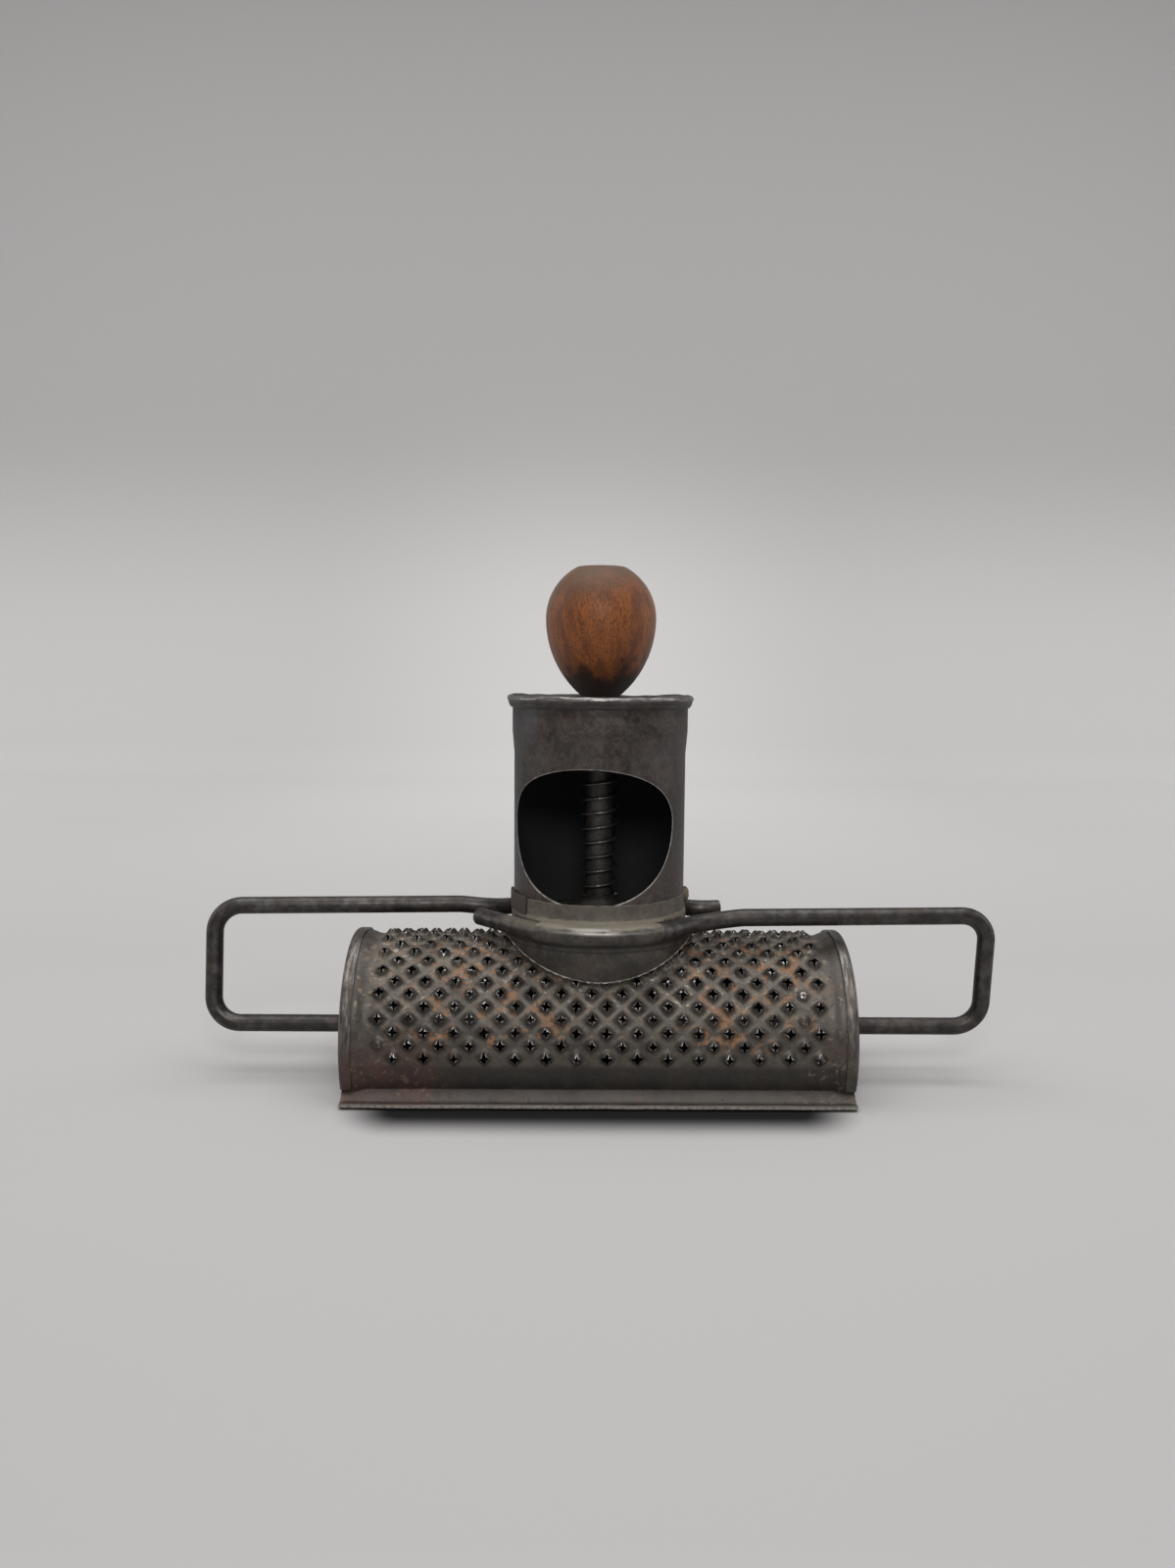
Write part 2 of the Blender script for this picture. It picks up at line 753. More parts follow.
@dataclass(frozen=True)
class GratingTin(AgedTin):
    """The grating: dark hollow burrs, rubbed and rusty valleys between them, a dark foot."""

    name: str = "rusty_grating_tin"
    pale: Colour = (0.100, 0.086, 0.073)
    rust_share: float = 0.3
    flank: Colour = (0.026, 0.022, 0.019)
    tip: Colour = (0.60, 0.58, 0.55)
    hole: Colour = (0.004, 0.004, 0.004)
    tan: Colour = (0.215, 0.180, 0.140)
    rusty: Colour = (0.275, 0.132, 0.058)
    rubbed: Colour = (0.42, 0.39, 0.35)
    wall: Colour = (0.024, 0.021, 0.019)
    flange: Colour = (0.085, 0.072, 0.064)
    plum: Colour = (0.090, 0.046, 0.036)
    crumb: Colour = (0.24, 0.17, 0.11)
    under: Colour = (0.010, 0.009, 0.009)
    rust_left: Span = (-28.0, -10.0)
    rust_right: Span = (18.0, 34.0)
    rust_zone: Span = (2.0, 15.0)
    wall_zone: Span = (-7.2, -3.2)
    hem_zone: Span = (-9.65, -9.15)
    torn_relief: Span = (0.93, 1.30)
    hollow_relief: Span = (1.30, 1.60)
    scratch_slants: Span = (math.pi / 4, -math.pi / 4)

    def paint(self, nodes: Nodes) -> Coat:
        """Tin painted by place and by relief, which is 0 in a valley, 1 at a torn rim, 2 inside.

        Args:
            nodes: adds to the material's tree.

        Returns:
            The coat.
        """
        coat = super().paint(nodes)
        place = coat.place
        x, y, height = nodes.from_rail(place)
        relief = nodes.relief()
        torn = nodes.between(relief, self.torn_relief, 0.12)
        torn = torn * nodes.cloud(place, 900.0, (0.44, 0.58), 2.0)
        up = nodes.math("MINIMUM", relief, 1.0)
        field = nodes.spread(abs(x), 42.5, 38.5) * nodes.spread(height, -3.6, -1.6)
        valley = nodes.spread(up, 0.42, 0.05) * field
        upper = nodes.spread(height, 0.0, 15.5)
        ragged = nodes.cloud(place, 1300.0, (0.36, 0.6), 4.0, 0.7)
        patchy = nodes.cloud(place, 240.0, (0.36, 0.60), 4.0, 0.6)
        bare = valley * nodes.blend(0.25, 1.0, ragged) * nodes.blend(0.3, 1.0, upper)
        bare = bare * nodes.blend(0.2, 1.0, patchy)
        coat.over(self.tan, bare * 0.65)

        sides = nodes.between(x, self.rust_left, 8.0) | nodes.between(x, self.rust_right, 6.0)
        zone = nodes.blend(0.12, 1.0, sides) * nodes.between(height, self.rust_zone, 3.0)
        blotch = nodes.cloud(place, 330.0, (0.52, 0.60), 4.0, 0.6) * ragged
        rust = nodes.spread(up, 0.7, 0.2) * zone * blotch
        coat.over(self.rusty, rust * 0.85)

        slants = [nodes.stretch(place, EVEN, (0.0, turn, 0.0)) for turn in self.scratch_slants]
        down, back = (nodes.scratches(slant, 7.0, 0.7) for slant in slants)
        worn = (down | back) * valley * patchy * upper
        coat.over(self.rubbed, worn * 0.8)
        coat.over(self.flank, nodes.between(up, (0.45, 0.9), 0.25) * 0.35)

        coat.over(self.wall, nodes.between(height, self.wall_zone, 1.2) * 0.6)
        coat.over(self.flange, nodes.spread(height, -7.0, -7.5) * nodes.blend(0.15, 0.5, patchy))
        left = nodes.spread(x, -20.0, -36.0) * nodes.spread(height, 4.0, -4.0)
        coat.over(self.plum, left * nodes.blend(0.2, 0.75, patchy))
        crumbs = nodes.cloud(place, 900.0, (0.56, 0.64), 3.0, 0.6) * patchy
        coat.over(self.crumb, crumbs * (nodes.spread(abs(x), 33.0, 39.0) | left) * 0.6)
        outer = nodes.spread(abs(y), 17.6, 17.9)
        under = outer * nodes.spread(height, -9.60, -9.70)
        hem = outer * nodes.between(height, self.hem_zone, 0.1) * nodes.blend(0.25, 0.9, ragged)
        coat.over(self.rubbed, hem)
        coat.over(self.under, under)
        coat.over(self.tip, torn * 0.85)
        hollow = nodes.spread(relief, *self.hollow_relief)
        coat.over(self.hole, hollow)
        dull = hollow | rust | under | bare * 0.5
        coat.shift(torn | worn | hem, metal=0.95)
        coat.shift(torn, rough=0.36)
        coat.shift(dull, metal=0.05, rough=0.7)
        return coat


@dataclass(frozen=True)
class LidTin(AgedTin):
    """The lid: dark tin whose crimped rim is rubbed bright along its upper edge."""

    name: str = "crimped_lid_tin"
    dark: Colour = (0.034, 0.028, 0.026)
    pale: Colour = (0.130, 0.114, 0.106)
    rust_share: float = 0.15
    rubbed: Colour = (0.36, 0.335, 0.33)
    shadow: Colour = (0.022, 0.017, 0.016)
    rim_line: Span = (61.3, 61.75)

    def paint(self, nodes: Nodes) -> Coat:
        """Tin with a broken bright line by height above the rail, outside the barrel's radius.

        Args:
            nodes: adds to the material's tree.

        Returns:
            The coat.
        """
        coat = super().paint(nodes)
        x, y, height = nodes.from_rail(coat.place)
        outer = nodes.spread(nodes.distance(x, y), 16.0, 16.6)
        streak = nodes.streaks(coat.place, (0.5, 0.5, 2.0), 800.0, (0.40, 0.58))
        worn = nodes.between(height, self.rim_line, 0.22) * outer * nodes.blend(0.25, 1.0, streak)
        coat.over(self.shadow, nodes.spread(height, 61.0, 60.5) * outer * 0.65)
        coat.over(self.rubbed, worn * 0.65)
        coat.shift(worn, metal=0.8, rough=0.34)
        return coat


@dataclass(frozen=True)
class PlateTin(AgedTin):
    """The end plates: streaky rubbed rims, redder towards the foot of the left one."""

    name: str = "end_plate_tin"
    dark: Colour = (0.036, 0.030, 0.026)
    pale: Colour = (0.104, 0.089, 0.076)
    plum: Colour = (0.080, 0.040, 0.034)
    rubbed: Colour = (0.27, 0.25, 0.235)

    def paint(self, nodes: Nodes) -> Coat:
        """Tin with the rim worn in streaks along its edge, by distance from the rail's axis.

        Args:
            nodes: adds to the material's tree.

        Returns:
            The coat.
        """
        coat = super().paint(nodes)
        x, y, height = nodes.from_rail(coat.place)
        rim = nodes.spread(nodes.distance(y, height), 17.0, 17.8)
        streak = nodes.streaks(coat.place, (3.0, 0.4, 0.4), 700.0, (0.42, 0.62))
        worn = rim * streak * nodes.spread(height, -4.0, 6.0)
        coat.over(self.plum, nodes.spread(x, 0.0, -40.0) * nodes.spread(height, 6.0, -3.0) * 0.6)
        coat.over(self.rubbed, worn * 0.6)
        coat.shift(worn, metal=0.9, rough=0.36)
        return coat


@dataclass(frozen=True)
class PlungerTin(AgedTin):
    """The plunger's tube, cup and washer: nearly black tin."""

    name: str = "plunger_tin"
    dark: Colour = (0.018, 0.016, 0.014)
    pale: Colour = (0.070, 0.062, 0.052)
    rust_share: float = 0.2


@dataclass(frozen=True)
class DrawnWire(Finish):
    """Dark drawn steel wire: smooth, with a brown bloom, and flux on it beside the collar."""

    name: str = "dark_drawn_wire"
    dark: Colour = (0.034, 0.031, 0.030)
    pale: Colour = (0.088, 0.081, 0.077)
    bloom: Colour = (0.075, 0.045, 0.032)
    pit: Colour = (0.014, 0.012, 0.011)
    flux: Colour = (0.095, 0.079, 0.058)
    flux_zone: Span = (-16.5, -8.0)

    def paint(self, nodes: Nodes) -> Coat:
        """Patchy dark steel, with a khaki crust on the upper side of the front wire's left end.

        Args:
            nodes: adds to the material's tree.

        Returns:
            The coat.
        """
        place = nodes.place()
        x, y, height = nodes.from_rail(place)
        stain, patch, _grain, pits = nodes.mottle(place, 0.9)
        cloudy = nodes.noise(place, 520.0, 5.0, 0.6)
        share = nodes.spread(cloudy, 0.38, 0.66) * nodes.blend(0.45, 1.0, stain)
        colour = nodes.mix(self.dark, self.pale, share)
        rough = nodes.blend(0.36, 0.50, patch)
        coat = Coat(nodes, place, colour, rough, 0.7, cloudy * 0.4 - pits * 0.4, 0.00005)
        coat.over(self.bloom, patch * 0.25)
        coat.over(self.pit, pits * 0.4)
        level = height + (nodes.noise(place, 350.0) * 3.0 - 1.5)
        crust = nodes.between(x, self.flux_zone, 3.0) * nodes.spread(y, -7.0, -9.0)
        crust = crust * nodes.spread(level, 21.0, 22.0)
        coat.over(self.flux, crust * 0.8)
        coat.shift(crust, metal=0.05, rough=0.7)
        return coat


@dataclass(frozen=True)
class SpringSteel(Finish):
    """Fine spring wire, dull grey with a little shine."""

    name: str = "spring_steel"
    grey: Colour = (0.15, 0.14, 0.13)
    stain: Colour = (0.04, 0.032, 0.028)

    def paint(self, nodes: Nodes) -> Coat:
        """Grey steel with small dark stains.

        Args:
            nodes: adds to the material's tree.

        Returns:
            The coat.
        """
        place = nodes.place()
        _stain, patch, grain, _pits = nodes.mottle(place, 2.0)
        colour = nodes.mix(self.grey, self.stain, patch * 0.6)
        return Coat(nodes, place, colour, nodes.blend(0.30, 0.5, patch), 0.9, grain, 0.00002)


@dataclass(frozen=True)
class DullSolder(Finish):
    """Grey solder with a crust of tan flux."""

    name: str = "fluxed_solder"
    grey: Colour = (0.16, 0.145, 0.125)
    flux: Colour = (0.20, 0.15, 0.10)
    dark: Colour = (0.05, 0.04, 0.03)

    def paint(self, nodes: Nodes) -> Coat:
        """Grey metal under patches of flux.

        Args:
            nodes: adds to the material's tree.

        Returns:
            The coat.
        """
        place = nodes.place()
        _stain, patch, grain, _pits = nodes.mottle(place, 2.2)
        colour = nodes.mix(self.grey, self.flux, patch)
        coat = Coat(nodes, place, colour, nodes.blend(0.4, 0.7, patch), 0.5, grain, 0.0002)
        coat.over(self.dark, grain * 0.5)
        return coat


@dataclass(frozen=True)
class StainedWood(Finish):
    """Turned wood, stained orange-brown and finely flecked, darkened at its foot and shoulder."""

    name: str = "stained_knob_wood"
    amber: Colour = (0.232, 0.073, 0.017)
    brown: Colour = (0.118, 0.035, 0.011)
    fleck: Colour = (0.075, 0.025, 0.010)
    shoulder: Colour = (0.080, 0.045, 0.024)
    foot: Colour = (0.013, 0.007, 0.006)

    def paint(self, nodes: Nodes) -> Coat:
        """Fine flecks, drawn out along the grain higher up, with a ragged dark foot.

        Args:
            nodes: adds to the material's tree.

        Returns:
            The coat.
        """
        place = nodes.place()
        x, _y, height = nodes.from_rail(place)
        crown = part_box("knob")[1].z / MM - RAIL_HEIGHT
        share_up = (height - LID_TOP) / (crown - LID_TOP)
        soft = nodes.noise(nodes.stretch(place, (1.0, 1.0, 0.25)), 480.0, 4.0, 0.6)
        drawn = nodes.noise(nodes.stretch(place, (1.0, 1.0, 0.28)), 4600.0, 3.0, 0.6)
        fine = nodes.noise(place, 3600.0, 3.0, 0.65)
        fleck = nodes.blend(fine, drawn, nodes.spread(share_up, 0.38, 0.62))
        colour = nodes.mix(self.amber, self.brown, nodes.spread(soft, 0.40, 0.66))
        rough = fleck * 0.2 + 0.40
        coat = Coat(nodes, place, colour, rough, 0.0, soft * 0.5 - fleck * 0.5, 0.00004)
        coat.over(self.fleck, nodes.spread(fleck, 0.44, 0.60) * 0.8)
        cloud = nodes.noise(place, 170.0, 5.0, 0.65)
        top = nodes.spread(share_up - x * 0.009 + cloud * 0.5, 0.92, 1.20)
        coat.over(self.shoulder, top * 0.75)
        level = share_up - x * 0.005 + (cloud * 0.7 - 0.35)
        coat.over(self.foot, nodes.spread(level, 0.30, 0.12) * 0.93)
        return coat


# ---------------------------------------------------------------- grating sheet


@dataclass
class Grating:
    """The arched sheet with its field of burrs, its flanges, hems and flared ends.

    outer_rings are shares of the way from a burr's rim to its diamond's edge. Each inner ring is
    such a share, how far it lies under the dome, and its relief. The unpierced burrs are given by
    row and column, and waver as depths and runs of sines.
    """

    sheet: float = 0.45
    radius: float = 16.9
    waist: float = 115.0
    flange_slope: float = 43.0
    hem_lip: float = 1.08
    hem_width: float = 1.28
    hem_half_length: float = 45.2
    hem_lift: float = 0.3
    flange_gap: float = 0.25
    lip_start: Span = (0.2, 0.1)
    flare_start: float = 40.8
    flare_run: float = 2.2
    flare_rise: float = 0.63
    flare_end: float = 44.6
    rows: int = 26
    columns: int = 15
    pitch: float = 5.33
    row_pitch: float = 7.447
    burr_base: float = 1.46
    burr_height: float = 1.2
    petal: float = 0.42
    tear: float = 1.0
    dome_power: float = 1.7
    star_power: float = 3.4
    turn_play: float = 0.16
    place_play: float = 0.07
    height_play: Span = (0.84, 1.0)
    gape_play: Span = (0.85, 1.12)
    rim_play: Span = (0.86, 1.14)
    petal_play: Span = (0.75, 1.2)
    unpierced: tuple[tuple[int, int], ...] = ((20, 14), (22, 14), (24, 0))
    shut_height: float = 0.45
    shut_gape: float = 0.12
    low_rows: int = 5
    low_gape: float = 0.3
    around: int = 16
    edge_steps: int = 4
    arch_steps: int = 5
    outer_rings: tuple[float, ...] = (0.85, 0.68, 0.5, 0.32, 0.15, 0.0)
    inner_rings: tuple[Point, ...] = ((0.03, 0.12, 1.2), (0.26, 0.34, 1.7), (0.6, 0.42, 2.0))
    waver: tuple[Span, ...] = ((0.12, 6.1), (0.08, 2.3))
    waver_zone: Span = (-7.5, -10.0)

    def station(self, half_pitch: np.ndarray) -> np.ndarray:
        """X of a lattice column, in half pitches from the first burr, held to the plain arch."""
        first = -(self.columns - 1) / 2 * self.pitch - self.pitch / 4
        return np.clip(first + half_pitch * self.pitch / 2, -self.flare_start, self.flare_start)

    def lean(self, row: np.ndarray) -> np.ndarray:
        """Angle of a row from the crest, in radians, positive to the front."""
        return np.radians((row - (self.rows - 1) / 2) * self.row_pitch)

    def arch(self, x: np.ndarray, lean: np.ndarray, rise: np.ndarray | float = 0.0) -> np.ndarray:
        """A point of the arch: (x, -r sin a, r cos a), with r = radius + rise."""
        r = self.radius + rise
        x, lean, r = np.broadcast_arrays(x, lean, r)
        return np.stack([x, -r * np.sin(lean), r * np.cos(lean)], -1)

    def diamonds(self, row: np.ndarray, column: np.ndarray) -> tuple[np.ndarray, np.ndarray]:
        """The edge of each burr's diamond of sheet, whose corners lie between the burrs.

        Args:
            row: the burrs' rows.
            column: their places in the rows.

        Returns:
            X and lean of the edge's points, one row of them for each burr.
        """
        half = 2 * column + row % 2
        steps = np.arange(self.edge_steps) / self.edge_steps
        turns = np.array([(1, 0), (0, 1), (-1, 0), (0, -1), (1, 0)])
        sides = list(zip(turns, turns[1:]))
        edge = np.concatenate([start + (end - start) * steps[:, None] for start, end in sides])
        ends = [[self.station(half + turn[0])[:, None] for turn in side] for side in sides]
        edge_x = np.concatenate([start + (end - start) * steps for start, end in ends], 1)
        return edge_x, self.lean(row[:, None] + edge[None, :, 1])

    def burr_cells(self) -> Surface:
        """The burrs, each in its own diamond of sheet.

        Rings of points run from the diamond's edge up the burr to its torn rim, over it, and back
        inside to the sheet's underside. At s = distance from the burr's middle / burr_base the
        outside rises as height * (1 + cos(pi * s^dome_power)) / 2. The rim is a four-pointed star:
        at angle a its radius is petal + (tear - petal) * |cos 2a|^star_power.

        Returns:
            All the burrs as one open surface.
        """
        rng = np.random.default_rng(SEED)
        row, column = np.meshgrid(np.arange(self.rows), np.arange(self.columns), indexing="ij")
        row, column = row.ravel(), column.ravel()
        edge_x, edge_lean = self.diamonds(row, column)

        count = len(row)
        turn = np.arange(self.around) * 2 * np.pi / self.around
        angle = turn + rng.uniform(-self.turn_play, self.turn_play, (count, 1))
        star = np.abs(np.cos(2 * turn)) ** self.star_power
        shut = np.array([(r, c) in self.unpierced for r, c in zip(row, column)])[:, None]
        height = rng.uniform(*self.height_play, (count, 1))
        tall = self.burr_height * np.where(shut, self.shut_height, height)
        gape = rng.uniform(*self.gape_play, (count, 1))
        gape = gape * np.where((row < self.low_rows)[:, None], self.low_gape, 1.0)
        gape = np.where(shut, self.shut_gape, gape)
        uneven = rng.uniform(*self.rim_play, (count, self.around))
        petal = rng.uniform(*self.petal_play, (count, 4)).repeat(self.around // 4, axis=1)
        petal = self.petal * petal
        rim = (petal + (self.tear - petal) * star) * gape * uneven
        centre_x = self.station(2 * column + row % 2)[:, None]
        centre_x = centre_x + rng.uniform(-self.place_play, self.place_play, (count, 1))
        slip = rng.uniform(-self.place_play, self.place_play, (count, 1)) / self.radius
        centre_lean = self.lean(row)[:, None] + slip
        rim_x, rim_lean = rim * np.cos(angle), rim * np.sin(angle) / self.radius
        out_x, out_lean = edge_x - centre_x, edge_lean - centre_lean

        rings, relief = [self.arch(edge_x, edge_lean)], [np.zeros(edge_x.shape)]
        outer_rings = [(share, 0.0, 1.0) for share in self.outer_rings]
        for share, drop, torn in outer_rings + list(self.inner_rings):
            x, lean = rim_x + (out_x - rim_x) * share, rim_lean + (out_lean - rim_lean) * share
            away = np.minimum(np.hypot(x, lean * self.radius) / self.burr_base, 1.0)
            dome = (1.0 + np.cos(np.pi * away**self.dome_power)) / 2 * (1.0 - share**8)
            rings.append(self.arch(centre_x + x, centre_lean + lean, tall * dome - drop))
            on_flank = drop == 0.0 and share > 0.0
            torn = np.minimum(dome, FLANK_RELIEF) if on_flank else np.where(shut, SHUT_RELIEF, torn)
            relief.append(np.broadcast_to(torn, dome.shape))
        rings.append(self.arch(edge_x, edge_lean, -self.sheet))
        relief.append(np.full(edge_x.shape, INSIDE_RELIEF))
        faces = grid_faces(len(rings), self.around, wrap_columns=True)
        starts = np.arange(count)[:, None, None] * len(rings) * self.around
        faces = (starts + faces[None]).reshape(-1, 4)
        return Surface(np.stack(rings, 1).reshape(-1, 3), [faces], np.stack(relief, 1).reshape(-1))

    def border_fan(self, loop: np.ndarray, rise: float) -> Surface:
        """A plain triangle of the field's border, as a fan about its middle.

        Args:
            loop: (points, 2), X and lean of each point round the border, turning from X to lean.
            rise: 0 on the outside of the sheet, minus its thickness on the inside.

        Returns:
            The triangle's surface.
        """
        ring = np.append(loop, loop.mean(axis=0, keepdims=True), axis=0)
        points = self.arch(ring[:, 0], ring[:, 1], rise)
        number = np.arange(len(loop))
        faces = np.stack([number, (number + 1) % len(loop), np.full(len(loop), len(loop))], -1)
        if rise == 0.0:
            faces = faces[:, ::-1]
        return Surface(points, [faces], np.full(len(points), 0.0 if rise == 0.0 else INSIDE_RELIEF))

    def border(self) -> list[Surface]:
        """The plain triangles between the zigzag edge of the field and its straight border.

        Returns:
            Each triangle's outside and inside. Its corners are lattice places (half pitch, row).
        """
        last_row, last_half = self.rows, 2 * self.columns
        loops = []
        for row in range(0, last_row, 2):
            loops.append([(-1, row), (0, row + 1), (-1, row + 2)])
            loops.append([(last_half, row - 1), (last_half - 1, row), (last_half, row + 1)])
        for half in range(0, last_half - 1, 2):
            loops.append([(half, -1), (half + 1, 0), (half + 2, -1)])
            loops.append([(half - 1, last_row), (half, last_row - 1), (half + 1, last_row)])
        loops.append([(-1, -1), (-1, 0), (0, -1)])
        loops.append([(last_half, last_row - 1), (last_half - 1, last_row), (last_half, last_row)])
        surfaces = []
        for corners in loops:
            ends = [self.border_edge(corners[k], corners[(k + 1) % 3]) for k in range(3)]
            loop = np.concatenate(ends)
            ahead = np.roll(loop, -1, axis=0)
            area = np.sum(loop[:, 0] * ahead[:, 1] - loop[:, 1] * ahead[:, 0])
            loop = loop if area > 0 else loop[::-1]
            surfaces += [self.border_fan(loop, 0.0), self.border_fan(loop, -self.sheet)]
        return surfaces

    def border_edge(self, start: tuple[int, int], end: tuple[int, int]) -> np.ndarray:
        """Points along one edge of a border triangle.

        Args:
            start: the corner that they start at, as (half pitch, row).
            end: the corner that they stop short of.

        Returns:
            (points, 2), X and lean. An edge that lies along the lattice's axes has half the steps.
        """
        single = abs(end[0] - start[0]) + abs(end[1] - start[1]) == 1
        steps = self.edge_steps // 2 if single else self.edge_steps
        half, row = np.array([start, end]).T
        ends = np.stack([self.station(half), self.lean(row)], -1)
        return np.linspace(ends[0], ends[1], steps, endpoint=False)

    def side_stations(self, front: bool) -> np.ndarray:
        """X of the points along the field's border.

        Args:
            front: the front border, whose corners lie half a pitch further on than the back's.

        Returns:
            The stations from left to right.
        """
        last_half = 2 * self.columns
        corners = sorted({-1, *range(1 if front else 0, last_half, 2), last_half})
        parts = []
        for start, end in zip(corners, corners[1:]):
            steps = self.edge_steps // 2 if end - start == 1 else self.edge_steps
            parts.append(np.linspace(*self.station(np.array([start, end])), steps, endpoint=False))
        return np.append(np.concatenate(parts), self.flare_start)

    def skirt_section(self) -> np.ndarray:
        """The section below the field on one side: down the arch, the flange and round the hem.

        Returns:
            (points, 2) distance out from the rail's plane and height, from the outside of the arch
            round to its inside. arch_steps points lie on the arch at each end.
        """
        field_edge = math.degrees(float(self.lean(np.array(self.rows))))
        inside = self.radius - self.sheet
        fold = self.waist - self.flange_slope
        slope = math.tan(math.radians(self.flange_slope))
        leans = np.linspace(field_edge, self.waist, self.arch_steps)
        outer = self.radius * np.stack([np.sin(np.radians(leans)), np.cos(np.radians(leans))], -1)
        leans[-1] += math.degrees(self.sheet * math.tan(math.radians(fold / 2)) / inside)
        inner = inside * np.stack([np.sin(np.radians(leans)), np.cos(np.radians(leans))], -1)[::-1]
        floor = -RAIL_HEIGHT
        hem_top = floor + 2 * self.sheet
        foot = outer[-1][0] + (outer[-1][1] - hem_top) / slope
        reach = foot + self.hem_lip
        bend = self.sheet
        lift = self.hem_lift
        gap, (out, up) = self.flange_gap, self.lip_start
        flange = line(tuple(outer[-1]), (foot - gap, hem_top + gap * slope), 6)[1:]
        lip = line((foot + out, hem_top + up), (reach - bend, hem_top + lift), 3)
        edge = arc((reach - bend, floor + bend + lift), bend, 90.0, -90.0, 7)[1:]
        under = line((reach - bend, floor + lift), (reach - self.hem_width, floor), 3)[1:]
        back = line((reach - self.hem_width, floor + self.sheet), tuple(inner[0]), 6)[:-1]
        return np.concatenate([outer, flange, lip, edge, under, back, inner])

    def skirts(self) -> list[Surface]:
        """The sheet below the field, front and back.

        Returns:
            A middle strip and a band at each end, for the front and then for the back.
        """
        section = self.skirt_section()
        fold = section[self.arch_steps - 1 : len(section) - self.arch_steps + 1]
        stations = np.linspace(self.flare_start, self.hem_half_length, 4)
        surfaces = []
        for side in (-1.0, 1.0):
            surfaces.append(self.sheet_strip(self.side_stations(side < 0), section, side))
            surfaces += [self.end_band(stations * end, fold, side) for end in (-1.0, 1.0)]
        return surfaces

    def end_band(self, x: np.ndarray, fold: np.ndarray, side: float) -> Surface:
        """The flange and hem beyond the plain arch, closed along the waist and at the far end.

        Args:
            x: stations from the arch's end outward.
            fold: the section from the outer corner of the waist round to the inner one.
            side: -1 at the front, 1 at the back.

        Returns:
            The band, open where it meets the middle strip.
        """
        points = self.swept(x, fold, side)
        around = len(fold)
        loop = np.arange(around)
        cap = (loop[::-1] + (len(x) - 1) * around)[None, :]
        faces = [grid_faces(len(x), around, wrap_columns=True), cap]
        if side * x[-1] < 0:
            faces = [block[:, ::-1] for block in faces]
        relief = np.full(len(x) * around, PLAIN_RELIEF)
        return Surface(points.reshape(-1, 3), faces, relief)

    def swept(self, x: np.ndarray, section: np.ndarray, side: float) -> np.ndarray:
        """Carry the section along X: (x, side * (out - |waver(x)| * low), height).

        Args:
            x: stations.
            section: (points, 2), out and height. low grows from 0 to 1 down the waver zone.
            side: -1 at the front, 1 at the back.

        Returns:
            (stations, points, 3) places.
        """
        bends = [depth * np.sin(x / run + k * side) for k, (depth, run) in enumerate(self.waver, 1)]
        start, end = self.waver_zone
        low = np.clip((start - section[:, 1]) / (start - end), 0.0, 1.0)
        out = section[None, :, 0] - np.abs(sum(bends))[:, None] * low[None, :]
        height = np.broadcast_to(section[None, :, 1], out.shape)
        along = np.broadcast_to(x[:, None], out.shape)
        return np.stack([along, side * out, height], -1)

    def sheet_strip(self, x: np.ndarray, section: np.ndarray, side: float) -> Surface:
        """The open strip between the field's outer and inner borders.

        Args:
            x: stations.
            section: the whole section of the skirt.
            side: -1 at the front, 1 at the back.

        Returns:
            The strip.
        """
        points = self.swept(x, section, side)
        faces = grid_faces(len(x), len(section))
        if side < 0:
            faces = faces[:, ::-1]
        outside = np.arange(len(section)) < len(section) - self.arch_steps
        relief = np.broadcast_to(np.where(outside, PLAIN_RELIEF, INSIDE_RELIEF), points.shape[:2])
        return Surface(points.reshape(-1, 3), [faces], relief.reshape(-1))

    def flares(self) -> list[Surface]:
        """The ends of the arch, risen to the seams: r = radius + rise * smoothstep along the run.

        Returns:
            The left and the right end, each open towards the field.
        """
        lean = self.lean(np.arange(-2, 2 * self.rows + 1) / 2)
        skirt = np.linspace(lean[-1], math.radians(self.waist), self.arch_steps)[1:]
        lean = np.concatenate([-skirt[::-1], lean, skirt])
        run = np.append(np.linspace(0.0, self.flare_run, 6), self.flare_end - self.flare_start)
        surfaces = []
        for end in (-1.0, 1.0):
            share = np.clip(run / self.flare_run, 0.0, 1.0)
            rise = self.flare_rise * share * share * (3 - 2 * share)
            x = (self.flare_start + run) * end
            outer = self.arch(x[:, None], lean[None, :], rise[:, None])
            inner = self.arch(x[:, None], lean[None, :], rise[:, None] - self.sheet)
            inner[0, 0], inner[0, -1] = self.waist_corner(x[0], 1.0), self.waist_corner(x[0], -1.0)
            points = np.concatenate([outer, inner[::-1]], 0)
            faces = [grid_faces(len(points), len(lean))]
            last = len(points) - 1
            near = np.arange(len(x) - 1)
            for side in (0, len(lean) - 1):
                corners = [near, near + 1, last - near - 1, last - near]
                quads = np.stack([station * len(lean) + side for station in corners], -1)
                faces.append(quads[:, ::-1] if side == 0 else quads)
            if end > 0:
                faces = [block[:, ::-1] for block in faces]
            relief = np.full(points.shape[:2], PLAIN_RELIEF)
            relief[len(x):] = INSIDE_RELIEF
            surfaces.append(Surface(points.reshape(-1, 3), faces, relief.reshape(-1)))
        return surfaces

    def waist_corner(self, x: float, side: float) -> np.ndarray:
        """The inner corner of the waist fold, which lags the outer one."""
        out, height = self.skirt_section()[-self.arch_steps]
        return np.array([x, side * out, height])

